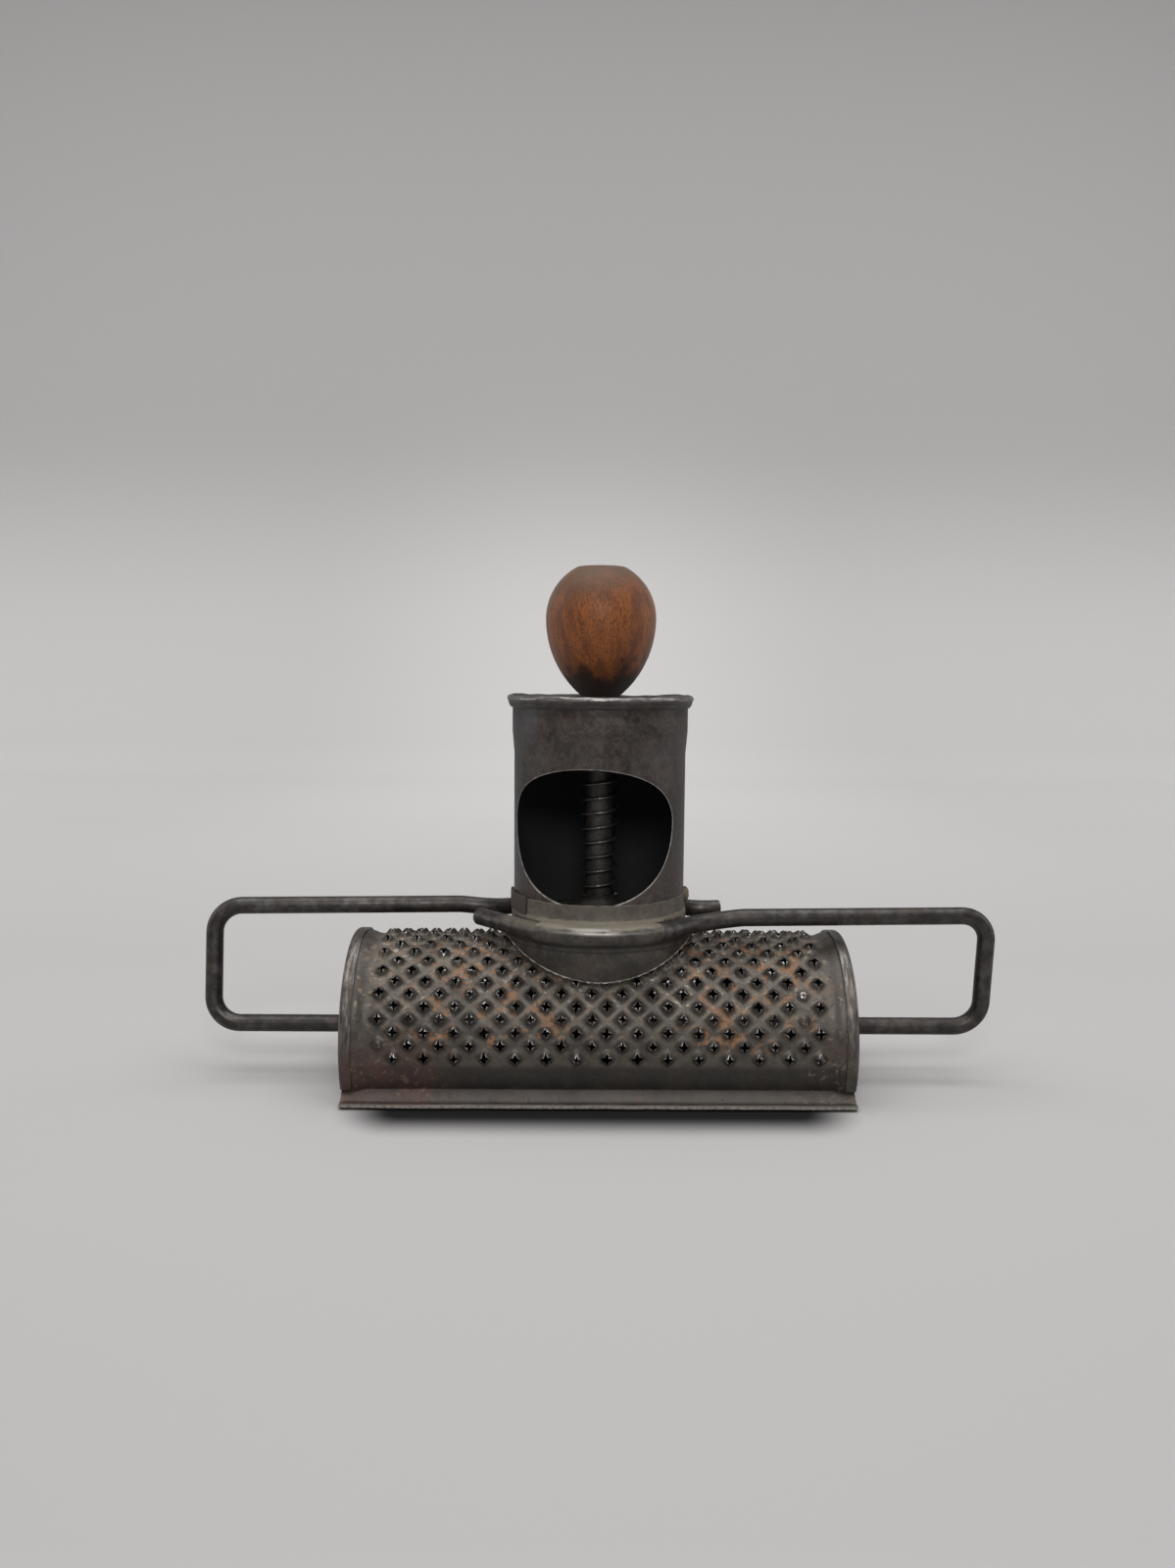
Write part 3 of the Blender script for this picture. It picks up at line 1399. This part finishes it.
    def build(self) -> bpy.types.Object:
        """Make the sheet and put it on the base.

        Returns:
            The piece.
        """
        surface = Surface.join([self.burr_cells(), *self.border(), *self.skirts(), *self.flares()])
        piece = surface.outward().to_object("burred_grating_sheet", sharp=50.0)
        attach(piece, Body.BASE.value)
        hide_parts("grating_shell")
        return piece

    def dress(self, piece: bpy.types.Object) -> None:
        """Give the sheet its finish."""
        dress(piece, GratingTin().material())


# ---------------------------------------------------------------- collar, barrel and lid


@dataclass
class Collar:
    """The collar: neck, groove for the wire, lips rolled over it, and the saddle-shaped skirt."""

    sheet: float = 0.4
    neck_top_radius: float = 15.98
    neck_bevel: float = 0.05
    wire_ring: float = 17.8
    wire_level: float = 20.9
    groove: float = 1.62
    shoulder_radius: float = 18.1
    skirt_top_radius: float = 17.6
    skirt_top: float = 18.3
    skirt_foot_radius: float = 14.71
    skirt_foot: float = 11.5
    skirt_arc: float = 14.63
    lip_sheet: float = 0.35
    lip_foot: float = -84.0
    lip_half_angle: float = 35.5
    lip_rag: Span = (1.6, 0.7)
    lip_crush: float = 0.07
    lip_thinned: Span = (0.62, 0.88)
    lip_steps: int = 15
    scallop_pitch: float = 1.7
    scallop_depth: float = 0.26
    scallop_power: float = 0.7
    dent_depth: float = 0.10
    flare_spread: float = 0.40
    flare_foot: float = 1.5
    flare_steps: int = 7
    tuck_rises: Span = (1.3, 0.3)
    fall_steps: int = 12
    lap_levels: Span = (22.9, 26.1)
    lap_depths: Span = (-0.3, 0.15)
    lap_corner: float = 0.12
    lap_arc: Span = (175.5, 215.5)
    stations: int = 360

    def skirt_radius(self, height: np.ndarray, inset: float) -> np.ndarray:
        """Radius of the bowl-shaped skirt at a height: an arc through its top and its foot.

        Args:
            height: heights.
            inset: how far inside the outer face.

        Returns:
            Radii, centre + sqrt((arc - inset)^2 - (height - centre height)^2).
        """
        top = np.array([self.skirt_top_radius, self.skirt_top])
        foot = np.array([self.skirt_foot_radius, self.skirt_foot])
        chord = foot - top
        half = np.hypot(*chord) / 2
        normal = np.array([chord[1], -chord[0]]) / (2 * half)
        centre = (top + foot) / 2 + normal * math.sqrt(self.skirt_arc**2 - half**2)
        reach = (self.skirt_arc - inset) ** 2 - (height - centre[1]) ** 2
        return centre[0] + np.sqrt(np.maximum(reach, 0.0))

    def saddle_height(self, azimuth: np.ndarray, inset: float) -> np.ndarray:
        """Height at which the skirt meets the saddle: z^2 + (r(z) sin a)^2 = saddle radius^2.

        Args:
            azimuth: angles in radians.
            inset: how far inside the outer face.

        Returns:
            Heights, held just under the skirt's top.
        """
        height = np.full_like(azimuth, 15.0)
        for _step in range(60):
            across = self.skirt_radius(height, inset) * np.sin(azimuth)
            height = 0.5 * height + 0.5 * np.sqrt(np.maximum(SADDLE_RADIUS**2 - across**2, 0.0))
        return np.minimum(height, self.skirt_top - 0.02)

    def wall(self) -> Surface:
        """Neck, groove and skirt: one section carried all round, its foot on the saddle curve.

        Returns:
            A closed ring of sheet.
        """
        azimuth = np.linspace(0.0, 2 * np.pi, self.stations, endpoint=False)
        feet = [self.saddle_height(azimuth, inset) for inset in (0.0, self.sheet)]
        along = azimuth * self.skirt_top_radius / self.scallop_pitch * np.pi
        tooth = self.scallop_depth * (1.0 - np.abs(np.sin(along)) ** self.scallop_power)
        tooth = tooth * np.clip((self.skirt_top - feet[0]) / 2.0, 0.0, 1.0)
        centre = (self.wire_ring, self.wire_level)
        back = self.groove + self.sheet
        inner_neck = NECK_RADIUS - self.sheet
        throat = self.skirt_top_radius - self.sheet
        start = math.degrees(math.acos((NECK_RADIUS - self.wire_ring) / self.groove))
        back_start = math.degrees(math.acos((inner_neck - self.wire_ring) / back))
        back_end = 360.0 - math.degrees(math.acos((throat - self.wire_ring) / back))
        outer = np.concatenate([
            arc(centre, self.groove, start, 270.0, 9),
            [[self.shoulder_radius, self.wire_level - self.groove]],
        ])
        inner = np.concatenate([
            arc(centre, back, back_end, back_start, 9),
            line((inner_neck, self.wire_level + 0.4), (inner_neck, NECK_TOP), 5),
            [[self.neck_top_radius - self.neck_bevel, NECK_TOP]],
        ])
        share = np.linspace(0.0, 1.0, self.fall_steps)
        falls = []
        for foot, inset, down in zip(feet, (0.0, self.sheet), (share, share[::-1])):
            height = self.skirt_top + (foot + tooth - self.skirt_top)[:, None] * down[None, :]
            falls.append(np.stack([self.skirt_radius(height, inset), height], -1))
        rings = [np.broadcast_to(part, (self.stations, *part.shape)) for part in (outer, inner)]
        section = np.concatenate([self.neck_flare(azimuth), rings[0], *falls, rings[1]], 1)
        section[..., 0] += self.dent(azimuth[:, None], section[..., 1])
        return loft(turned(section, azimuth), closed=True)

    def neck_flare(self, azimuth: np.ndarray) -> np.ndarray:
        """The neck's outside: upright, with a small flare, spread * share^3, above a lip.

        Args:
            azimuth: angles in radians.

        Returns:
            (angles, points, 2) radius and height, downwards.
        """
        top, foot = NECK_TOP - self.neck_bevel, self.wire_level + self.flare_foot
        level = np.linspace(top, foot, self.flare_steps)
        share = (level[0] - level) / (level[0] - level[-1])
        on_lip = np.clip((np.abs(np.sin(azimuth)) - 0.60) / 0.25, 0.0, 1.0)[:, None]
        spread = NECK_RADIUS - self.neck_top_radius + self.flare_spread * on_lip
        radius = self.neck_top_radius + spread * share**3
        flare = np.stack([radius, np.broadcast_to(level, radius.shape)], -1)
        tuck = np.array([[NECK_RADIUS, self.wire_level + rise] for rise in self.tuck_rises])
        tuck = np.broadcast_to(tuck, (len(azimuth), 2, 2)).copy()
        tuck[:, 0, 0] += self.flare_spread / 2 * on_lip[:, 0]
        return np.concatenate([flare, tuck], 1)

    def dent(self, azimuth: np.ndarray, height: np.ndarray) -> np.ndarray:
        """How far the sheet is out of true: low ripples that grow towards the skirt's foot."""
        low = np.clip((self.skirt_top - height) / 6.0, 0.0, 1.0)
        return self.dent_depth * waves(azimuth, (3, 5, 8), 11) * low

    def lip(self, facing: float) -> Surface:
        """A lip rolled over the wire: a C section carried round part of the ring, its ends ragged.

        Args:
            facing: the azimuth of its middle, in degrees.

        Returns:
            A closed band. From the share lip_thinned[0] on it loses up to lip_thinned[1] of its
            sheet.
        """
        outside = self.groove + self.lip_sheet
        inside = self.groove + 0.01
        top = math.degrees(math.acos((NECK_RADIUS + 0.3 - self.wire_ring) / outside))
        inner_top = math.degrees(math.acos((NECK_RADIUS - self.wire_ring) / self.groove))
        count = self.lip_steps
        roll = np.linspace(top, self.lip_foot, count)
        roll = np.radians(np.append(roll, np.linspace(self.lip_foot, inner_top, count)))
        outer = np.repeat([1.0, 0.0], count)
        share = np.linspace(-1.0, 1.0, 90)[:, None]
        coarse, fine = self.lip_rag
        ragged = coarse * waves(roll, (1, 3, 5), 23) + fine * waves(roll, (7, 9), 29)
        ragged = np.where(share < 0, -ragged, 0.6 * ragged[::-1])
        azimuth = np.radians(facing) + share * np.radians(self.lip_half_angle + ragged)
        crush = np.minimum(self.lip_crush * waves(azimuth, (9, 14, 23), 31) * outer, 0.05)
        start, loss = self.lip_thinned
        cover = 1.0 - loss * np.clip((share - start) / (1.0 - start), 0.0, 1.0) ** 2
        radius = inside + (outside - inside) * outer * cover + crush
        across, up = radius * np.cos(roll), radius * np.sin(roll)
        section = np.stack([self.wire_ring + across, self.wire_level + up], -1)
        return loft(turned(section, azimuth), outer)

    def lap(self) -> Surface:
        """The outer end of the collar's strip, lapped over the neck on the left.

        Returns:
            A closed band with cut corners, its upper and lower edges a little wavy.
        """
        low, high = self.lap_levels
        inner, outer = (NECK_RADIUS + depth for depth in self.lap_depths)
        corner = self.lap_corner
        section = np.array([
            [inner, low + corner],
            [inner + corner, low],
            [outer - corner, low],
            [outer, low + corner],
            [outer, high - corner],
            [outer - corner, high],
            [inner + corner, high],
            [inner, high - corner],
        ])
        azimuth = np.radians(np.linspace(*self.lap_arc, 28))
        points = np.broadcast_to(section, (len(azimuth), *section.shape)).copy()
        reach = np.where(section[:, 1] > (low + high) / 2, 1.0, 0.6)
        points[..., 1] += 0.08 * waves(azimuth, (9, 17), 41)[:, None] * reach
        return loft(turned(points, azimuth))

    def build(self) -> bpy.types.Object:
        """Make the collar and put it on the carriage.

        Returns:
            The piece.
        """
        parts = [self.wall(), self.lip(-90.0), self.lip(90.0), self.lap()]
        piece = Surface.join(parts).to_object("wire_bound_collar", sharp=42.0)
        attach(piece, Body.CARRIAGE.value)
        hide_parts("saddle_collar")
        return piece

    def dress(self, piece: bpy.types.Object) -> None:
        """Give the collar its finish."""
        dress(piece, CollarTin().material())


@dataclass
class Barrel:
    """The barrel, its crimped lid and the solder round its foot."""

    lid_sheet: float = 0.4
    lid_hole: float = 2.58
    lid_flat: float = 5.0
    trough_radius: float = 14.6
    trough: float = 61.05
    flange_top: float = 60.62
    flange_foot: float = 60.18
    flange_radius: float = 16.77
    mouth_radius: float = 16.12
    rim_radius: float = 17.15
    rim_foot: float = 59.8
    rim_crest: float = 61.95
    rim_roll: float = 1.6
    rim_bend: float = 0.3
    rim_waver: Point = (0.20, 0.10, 0.12)
    fillet_leg: Point = (0.05, 0.16, 0.22)
    drop_middle: Point = (15.85, -1.2, 25.2)
    drop_size: Point = (0.85, 1.5, 1.5)

    def lid(self) -> bpy.types.Object:
        """The lid: one section carried round, its crimped rim uneven in height and reach.

        Returns:
            The piece.
        """
        middle = self.rim_foot + self.rim_roll
        bend = self.rim_crest - middle
        trough, mouth = self.trough_radius, self.mouth_radius
        section = np.concatenate([
            [[self.lid_hole, LID_TOP], [self.lid_hole, LID_TOP - self.lid_sheet]],
            line((self.lid_flat, LID_TOP - self.lid_sheet), (trough, self.flange_top), 6),
            [[self.flange_radius, self.flange_top], [self.flange_radius, self.flange_foot]],
            [[mouth, self.flange_foot], [mouth, self.rim_foot + 0.05]],
            [[mouth + 0.30, self.rim_foot], [mouth + 0.66, self.rim_foot + 0.55]],
            arc((self.rim_radius - self.rim_bend, middle), self.rim_bend, -50.0, 10.0, 5),
            arc((self.rim_radius - bend, middle), bend, 25.0, 90.0, 6),
            line((trough + 0.6, self.trough + 0.25), (trough, self.trough), 3),
            line((self.lid_flat + 6.0, LID_TOP - 0.42), (self.lid_flat, LID_TOP), 4),
        ])
        azimuth = np.linspace(0.0, 2 * np.pi, 240, endpoint=False)
        points = np.broadcast_to(section, (len(azimuth), *section.shape)).copy()
        outer = np.clip((section[:, 0] - mouth) / 0.9, 0.0, 1.0)
        crest = np.clip((section[:, 1] - self.flange_top) / 1.2, 0.0, 1.0)
        crest = crest * (section[:, 0] > trough)
        low = waves(azimuth, (2, 3, 5), 51)[:, None]
        fine = waves(azimuth, (9, 14, 23), 53)[:, None]
        broad, small, reach = self.rim_waver
        points[..., 1] += (broad * low + small * fine - 0.05) * crest + broad / 2 * low * outer
        points[..., 0] -= np.abs(reach * fine + reach * low) * outer
        relief = np.broadcast_to(np.maximum(outer, crest), points.shape[:2])
        lid = loft(turned(points, azimuth), relief, closed=True)
        return lid.to_object("crimped_lid", sharp=45.0)

    def solder(self) -> bpy.types.Object:
        """A lumpy fillet on top of the neck, and a spilt drop on the right with a ragged skin.

        The drop is middle + size * bump * (sin v cos u, sin v sin u, cos v).

        Returns:
            The piece.
        """
        azimuth = np.linspace(0.0, 2 * np.pi, 300, endpoint=False)
        lump = 0.5 + 0.5 * waves(azimuth, (7, 13, 29, 41), 61)
        right = np.clip(1.0 - np.abs(np.angle(np.exp(1j * azimuth))) / 0.5, 0.0, 1.0)
        least, lumpy, spilt = self.fillet_leg
        leg = least + lumpy * lump + spilt * right
        inner, low = BARREL_RADIUS - 0.05, NECK_TOP - 0.05
        corners = (
            (inner, low),
            (NECK_RADIUS - 0.26, low),
            (inner + 0.12 + 0.1 * lump, low + 0.55 * leg),
            (inner, low + leg),
        )
        corners = [np.stack(np.broadcast_arrays(out, up, leg)[:2], -1) for out, up in corners]
        ring = loft(turned(np.stack(corners, 1), azimuth), closed=True)
        v = np.linspace(0.05, np.pi - 0.05, 18)[:, None]
        u = np.linspace(0.0, 2 * np.pi, 28, endpoint=False)[None, :]
        bump = 1.0 + 0.16 * waves(u + 0.7 * v, (2, 3, 5), 71) * np.sin(v)
        bump = bump + 0.08 * waves(u - v, (7, 9), 73)
        way = np.stack([np.sin(v) * np.cos(u), np.sin(v) * np.sin(u), np.cos(v) + 0 * u], -1)
        skin = np.array(self.drop_size) * bump[..., None] * way
        drop = loft(np.array(self.drop_middle) + skin, 1.0)
        return Surface.join([ring, drop]).to_object("solder_seam", sharp=60.0)

    def build(self) -> list[bpy.types.Object]:
        """Make the lid and the solder and put them on the carriage.

        Returns:
            The two pieces.
        """
        pieces = [self.lid(), self.solder()]
        places = (("barrel_lid", Slot.SHEET), ("solder_fillet", Slot.SOLDER))
        for piece, (node, slot) in zip(pieces, places):
            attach(piece, Body.CARRIAGE.value)
            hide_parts(node)
        return pieces

    def dress(self, pieces: list[bpy.types.Object]) -> None:
        """Give the barrel, lid and solder their finishes."""
        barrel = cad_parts["nutmeg_barrel"]
        for piece, finish in zip([barrel, *pieces], (BarrelTin(), LidTin(), DullSolder())):
            dress(piece, finish.material())


# ---------------------------------------------------------------- pieces kept from the frame


@dataclass(frozen=True)
class KeptNodes:
    """CAD nodes whose shape stays, and the finish that they share."""

    nodes: tuple[str, ...]
    finish: Finish

    def dress(self) -> None:
        """Give all of them the one material."""
        material = self.finish.material()
        for node in self.nodes:
            dress(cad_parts[node], material)


END_PLATES = KeptNodes(("left_end_plate", "right_end_plate"), PlateTin())
WIRE_FRAME = KeptNodes(("slide_rail", "left_handle_loop", "right_handle_loop"), DrawnWire())
PLUNGER_SHEET = KeptNodes(("plunger_tube", "presser_cup", "spring_seat_washer"), PlungerTin())


@dataclass
class Plunger:
    """The tube, cup, washer, spring and knob."""

    coil_radius: float = 3.2
    coil_pitch: float = 2.7
    spring_wire: float = 0.5
    seat: float = 25.0
    ceiling: float = 61.4
    lift: float = 26.0
    steps_per_turn: int = 40
    wire_sides: int = 12
    wood_specular: float = 0.22
    wood_sheen: float = 0.12

    def spring(self) -> bpy.types.Object:
        """A round wire along the helix (r cos a, r sin a, seat + pitch * a / 2 pi).

        Returns:
            The piece, its ends ground flat.
        """
        turns = (self.ceiling - self.seat) / self.coil_pitch
        angle = np.linspace(0.0, 2 * np.pi * turns, int(turns * self.steps_per_turn) + 1)
        middle = (self.coil_radius, self.seat)
        ring = arc(middle, self.spring_wire / 2, 0.0, 360.0, self.wire_sides + 1)[:-1]
        section = np.broadcast_to(ring, (len(angle), *ring.shape)).copy()
        section[..., 1] += self.coil_pitch * angle[:, None] / (2 * np.pi)
        section[..., 1] = np.clip(section[..., 1], self.seat, self.ceiling)
        return loft(turned(section, angle)).to_object("coiled_pressure_spring", sharp=60.0)

    def build(self) -> bpy.types.Object:
        """Make the spring and put it on the carriage. Its top stays at the lid as its foot lifts.

        Returns:
            The piece.
        """
        piece = self.spring()
        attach(piece, Body.CARRIAGE.value)
        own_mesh(piece)
        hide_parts("pressure_spring")
        return piece

    def dress(self, piece: bpy.types.Object) -> None:
        """Give the new spring and each CAD piece its finish.

        Args:
            piece: the spring.
        """
        PLUNGER_SHEET.dress()
        dress(piece, SpringSteel().material())
        plain = {"Specular IOR Level": self.wood_specular, "Sheen Weight": self.wood_sheen}
        dress(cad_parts["knob"], StainedWood().material(plain))


# ---------------------------------------------------------------- studio


@dataclass(frozen=True)
class Lamp:
    """A rectangular soft lamp: where it hangs, its sides in metres and its power in watts."""

    name: str
    place: Point
    size: Span
    power: float

    def hang(self, aim: Point) -> None:
        """Put it in the scene, turned to look at the aim.

        Args:
            aim: a point.
        """
        data = bpy.data.lights.new(self.name, "AREA")
        data.shape = "RECTANGLE"
        data.size, data.size_y = self.size
        data.energy = self.power
        lamp = new_object(self.name, data)
        x, y, z = np.array(aim) - np.array(self.place)
        tilt = Matrix.Rotation(math.atan2(math.hypot(x, y), -z), 4, "X")
        turn = Matrix.Rotation(-math.atan2(x, y), 4, "Z")
        lamp.matrix_world = Matrix.Translation(self.place) @ turn @ tilt


@dataclass
class Studio:
    """Pale floor with a backdrop, soft light, and the camera. Lengths are metres.

    A shade is a brightness and where along Y, or up Z for the foot and the wall, it starts to show
    and is full.
    """

    camera_place: Point = (-0.00436, -0.21719, 0.07581)
    camera_tilt: float = 0.093
    camera_turn: float = -0.00977
    camera_roll: float = 0.00795
    lens: float = 27.05
    sensor: float = 36.0
    floor_start: float = -1.6
    floor_reach: float = 0.62
    sweep_radius: float = 0.28
    wall_height: float = 1.6
    half_width: float = 2.2
    floor_colour: Colour = (0.42, 0.42, 0.42)
    seen_tint: Colour = (1.0, 0.978, 0.97)
    near_shade: float = 0.365
    floor_shades: tuple[Point, ...] = (
        (0.455, -0.12, 0.0),
        (0.475, 0.0, 0.10),
        (0.600, 0.10, 0.38),
        (0.755, 0.38, 0.62),
    )
    foot_shade: Point = (0.718, 0.002, 0.02)
    wall_shade: Point = (0.58, 0.11, 0.33)
    glow: float = 0.17
    glow_spans: tuple[Span, ...] = ((0.26, 0.0), (0.05, 0.5), (0.40, 0.12))
    side_glow: float = 0.6
    contact: float = 0.04
    shade_reach: float = 0.0125
    end_inset: float = 0.011
    aim: Point = (0.0, 0.0, 0.03)
    lamps: tuple[Lamp, ...] = (
        Lamp("overhead_softbox", (0.0, -0.05, 0.85), (1.1, 0.9), 7.5),
        Lamp("front_lamp", (0.0, -0.32, 0.21), (0.12, 0.08), 0.5),
        Lamp("left_fill", (-0.9, 0.1, 0.35), (0.5, 0.6), 1.6),
        Lamp("right_fill", (0.9, 0.1, 0.35), (0.5, 0.6), 1.6),
    )
    world_strength: float = 0.25

    def backdrop(self) -> None:
        """The floor runs back, sweeps up on an arc and goes on as a wall."""
        sweep = arc((self.floor_reach, self.sweep_radius), self.sweep_radius, -90.0, 0.0, 24)
        wall = line(tuple(sweep[-1]), (sweep[-1][0], self.wall_height), 8)[1:]
        floor = line((self.floor_start, 0.0), (self.floor_reach, 0.0), 8)[:-1]
        section = np.concatenate([floor, sweep, wall])
        x = np.linspace(-self.half_width, self.half_width, 3)[:, None]
        points = np.stack(np.broadcast_arrays(x, section[:, 0], section[:, 1]), -1)
        mesh = bpy.data.meshes.new("studio_sweep")
        mesh.from_pydata(points.reshape(-1, 3).tolist(), [], grid_faces(3, len(section)).tolist())
        mesh.shade_smooth()
        sweep_piece = new_object("studio_sweep", mesh)
        dress(sweep_piece, self.paper())

    def paper(self) -> bpy.types.Material:
        """Matt paper: one grey for the light, and for camera rays a brightness painted by place.

        Returns:
            The material.
        """
        material = bpy.data.materials.new("matt_paper")
        material.use_nodes = True
        material.node_tree.nodes.clear()
        nodes = Nodes(material.node_tree)
        x, y, z = nodes.axes(nodes.place())
        level: Any = self.near_shade
        for shade, start, end in self.floor_shades:
            level = nodes.blend(level, shade, nodes.spread(y, start, end, "LINEAR"))
        shade, start, end = self.foot_shade
        level = nodes.blend(level, shade, nodes.spread(z, start, end, "LINEAR"))
        shade, start, end = self.wall_shade
        level = nodes.blend(level, shade, nodes.spread(z, start, end))
        near, back, low = (
            nodes.spread(axis, *span) for axis, span in zip((abs(x), y, z), self.glow_spans)
        )
        level = level * (near * back * low * self.glow + 1.0) * (x * x * self.side_glow + 1.0)
        level = level * self.contact_shade(nodes, x, y)
        parts = {channel: level * tint for channel, tint in enumerate(self.seen_tint)}
        shown = nodes.out(nodes.add("CombineColor", parts))
        seen = nodes.out(nodes.add("LightPath"), "Is Camera Ray")
        shader = nodes.add("BsdfDiffuse", {"Color": nodes.mix(self.floor_colour, shown, seen)})
        nodes.add("OutputMaterial", {0: nodes.out(shader)})
        return material

    def contact_shade(self, nodes: Nodes, x: Value, y: Value) -> Value:
        """Share of the floor's brightness that the object leaves to it.

        Args:
            nodes: adds to the paper's tree.
            x: metres along the rail.
            y: metres away from the user.

        Returns:
            contact under the base and beside it, rising to 1 at shade_reach.
        """
        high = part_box("grating_shell")[1]
        past_x = (abs(x) - (high.x - self.end_inset)) | 0.0
        past_y = (abs(y) - high.y) | 0.0
        away = nodes.spread(nodes.distance(past_x, past_y), 0.002, self.shade_reach)
        share = nodes.blend(self.contact, 1.0, away)
        under = nodes.spread(abs(x), high.x + 0.001, high.x - 0.001)
        under = under * nodes.spread(abs(y), high.y, high.y - 0.002)
        return nodes.blend(share, self.contact, under)

    def lights(self) -> None:
        """A wide lamp overhead, a low front fill and two side fills, with a dim even world."""
        for lamp in self.lamps:
            lamp.hang(self.aim)
        world = bpy.data.worlds.new("studio_air")
        world.use_nodes = True
        background = world.node_tree.nodes["Background"]
        background.inputs[0].default_value = (*EVEN, 1.0)
        background.inputs[1].default_value = self.world_strength
        bpy.context.scene.world = world

    def camera(self) -> None:
        """The camera, placed and turned for the object's front view from a little above."""
        data = bpy.data.cameras.new("front_camera")
        data.lens = self.lens
        data.sensor_width = self.sensor
        data.clip_start = 0.01
        camera = new_object("front_camera", data)
        camera.matrix_world = (
            Matrix.Translation(self.camera_place)
            @ Matrix.Rotation(self.camera_turn, 4, "Z")
            @ Matrix.Rotation(math.pi / 2 - self.camera_tilt, 4, "X")
            @ Matrix.Rotation(self.camera_roll, 4, "Z")
        )
        bpy.context.scene.camera = camera

    def build(self) -> None:
        """Set the stage and the plain colour view."""
        self.camera()
        self.backdrop()
        self.lights()
        bpy.context.scene.view_settings.view_transform = "Standard"


def main() -> None:
    """Build and dress every sub-assembly in order, then keep the sizes."""
    logging.basicConfig(level=logging.INFO, format="%(name)s: %(message)s")
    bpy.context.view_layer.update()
    Studio().build()
    log.info("studio ready")
    for maker in (Grating(), Collar(), Barrel(), Plunger()):
        made = maker.build()
        maker.dress(made)
        for piece in made if isinstance(made, list) else [made]:
            log.info("%s: %d faces", piece.name, len(piece.data.polygons))
    for kept in (END_PLATES, WIRE_FRAME):
        kept.dress()
        log.info("%s: %s", kept.finish.name, ", ".join(kept.nodes))


if __name__ == "__main__":
    main()
